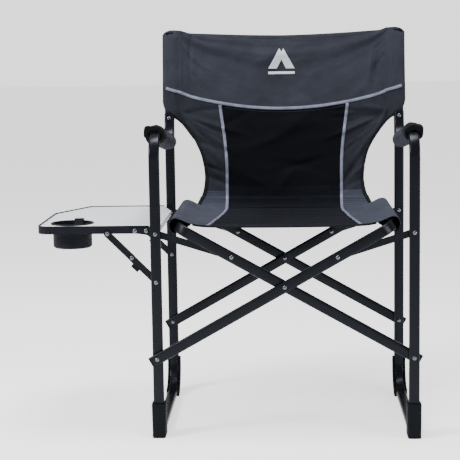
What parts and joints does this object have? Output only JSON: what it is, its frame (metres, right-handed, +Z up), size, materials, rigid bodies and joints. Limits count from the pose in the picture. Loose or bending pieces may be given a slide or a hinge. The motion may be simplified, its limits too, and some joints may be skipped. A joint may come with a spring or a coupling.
{
  "type": "folding director chair with side table",
  "caption": "Folding director chair with crossed steel legs, fabric seat and back, padded arms and a fold-down side table with a cup holder.",
  "frame": {"origin": "on the floor, under the middle of the open chair's bounding box, table included", "axes": "+Z up; the chair faces -Y; +X to the right as seen by someone facing the chair; the table is on the -X side"},
  "size_m": [0.8276, 0.5002, 0.8801],
  "materials": {
    "frame": "satin powder coat",
    "rivet": "bright zinc",
    "plastic": "moulded, matte",
    "rim": "moulded, matte",
    "board": "smooth laminate",
    "foam": "soft cover over foam",
    "seat_cloth": "plain weave",
    "back_cloth": "plain weave with mesh centre and light piping"
  },
  "bodies": {
    "left_frame": {"front_leg_arm_tube_left": "frame", "rear_leg_post_tube_left": "frame", "arm_pad_left": "foam", "front_boot_left": "plastic", "rear_boot_left": "plastic", "post_plug_left": "plastic", "arm_rivet_left": "rivet", "back_fabric": "back_cloth", "foot_rivet_left_front": "rivet", "foot_rivet_left_rear": "rivet", "stay_rivet_left_front": "rivet", "stay_rivet_left_rear": "rivet", "brace_leg_rivet_front": "rivet", "brace_leg_rivet_rear": "rivet"},
    "seat_frame_a": {"seat_frame_a": "frame", "foot_plug_a_front": "plastic", "foot_plug_a_rear": "plastic", "cross_rivet_front": "rivet", "cross_rivet_rear": "rivet", "stay_end_rivet_right_front": "rivet", "stay_end_rivet_right_rear": "rivet"},
    "seat_frame_b": {"seat_frame_b": "frame", "foot_plug_b_front": "plastic", "foot_plug_b_rear": "plastic", "stay_end_rivet_left_front": "rivet", "stay_end_rivet_left_rear": "rivet"},
    "right_frame": {"front_leg_arm_tube_right": "frame", "rear_leg_post_tube_right": "frame", "arm_pad_right": "foam", "front_boot_right": "plastic", "rear_boot_right": "plastic", "post_plug_right": "plastic", "arm_rivet_right": "rivet", "foot_rivet_right_front": "rivet", "foot_rivet_right_rear": "rivet", "stay_rivet_right_front": "rivet", "stay_rivet_right_rear": "rivet"},
    "stays_left": {"stay_left_front": "frame", "stay_left_rear": "frame"},
    "stays_right": {"stay_right_front": "frame", "stay_right_rear": "frame"},
    "seat_left": {"seat_fabric_left": "seat_cloth"},
    "seat_right": {"seat_fabric_right": "seat_cloth"},
    "table": {"table_panel": "board", "table_rim": "rim", "cup_holder": "rim", "table_bracket_front": "frame", "table_bracket_rear": "frame"},
    "brace_lower": {"brace_lower_front": "frame", "brace_lower_rear": "frame", "brace_knee_rivet_front": "rivet", "brace_knee_rivet_rear": "rivet"},
    "brace_upper": {"brace_upper_front": "frame", "brace_upper_rear": "frame", "brace_rim_rivet_front": "rivet", "brace_rim_rivet_rear": "rivet"},
    "catch_front": {"brace_catch_front": "plastic"},
    "catch_rear": {"brace_catch_rear": "plastic"}
  },
  "joints": [
    {"name": "fold", "type": "hinge", "parent": "left_frame", "child": "seat_frame_a", "pos_m": [-0.15579, -0.22691, 0.174], "axis": [0, -1, 0], "range_deg": [0, 48], "deforming": ["back_fabric", "seat_fabric_left", "seat_fabric_right"]},
    {"name": "cross", "type": "hinge", "parent": "seat_frame_a", "child": "seat_frame_b", "pos_m": [0.11921, -0.22691, 0.329], "axis": [0, -1, 0], "range_deg": [-96, 0]},
    {"name": "right_foot", "type": "hinge", "parent": "seat_frame_b", "child": "right_frame", "pos_m": [0.39421, -0.22691, 0.174], "axis": [0, -1, 0], "range_deg": [0, 48]},
    {"name": "stay_left", "type": "hinge", "parent": "left_frame", "child": "stays_left", "pos_m": [-0.15579, -0.22691, 0.444], "axis": [0, -1, 0], "range_deg": [0, 94]},
    {"name": "stay_right", "type": "hinge", "parent": "right_frame", "child": "stays_right", "pos_m": [0.39421, -0.22691, 0.444], "axis": [0, -1, 0], "range_deg": [-94, 0]},
    {"name": "seat_left", "type": "hinge", "parent": "seat_frame_b", "child": "seat_left", "pos_m": [-0.11078, -0.22691, 0.45863], "axis": [0, -1, 0], "range_deg": [-33, 0]},
    {"name": "seat_right", "type": "hinge", "parent": "seat_frame_a", "child": "seat_right", "pos_m": [0.34919, -0.22691, 0.45863], "axis": [0, -1, 0], "range_deg": [0, 33]},
    {"name": "table_fold", "type": "hinge", "parent": "left_frame", "child": "table", "pos_m": [-0.15579, -0.22691, 0.444], "axis": [0, -1, 0], "range_deg": [0, 80]},
    {"name": "brace_leg", "type": "hinge", "parent": "left_frame", "child": "brace_lower", "pos_m": [-0.15579, -0.22691, 0.3395], "axis": [0, -1, 0], "range_deg": [0, 123]},
    {"name": "brace_knee", "type": "hinge", "parent": "brace_lower", "child": "brace_upper", "pos_m": [-0.20804, -0.22691, 0.39175], "axis": [0, -1, 0], "range_deg": [-166, 0]},
    {"name": "catch_front", "type": "slide", "parent": "brace_lower", "child": "catch_front", "axis": [0.7071, 0, -0.7071], "range_m": [0, 0.014]},
    {"name": "catch_rear", "type": "slide", "parent": "brace_lower", "child": "catch_rear", "axis": [0.7071, 0, -0.7071], "range_m": [0, 0.014]}
  ],
  "couplings": [
    {"joint": "cross", "follows": "fold", "ratio": -2},
    {"joint": "right_foot", "follows": "fold", "ratio": 1},
    {"joint": "stay_left", "follows": "fold", "ratio": 1.9533},
    {"joint": "stay_right", "follows": "fold", "ratio": -1.9533},
    {"joint": "seat_left", "follows": "fold", "ratio": -0.6667},
    {"joint": "seat_right", "follows": "fold", "ratio": 0.6667},
    {"joint": "brace_leg", "follows": "table_fold", "ratio": 1.5365},
    {"joint": "brace_knee", "follows": "table_fold", "ratio": -2.073}
  ]
}
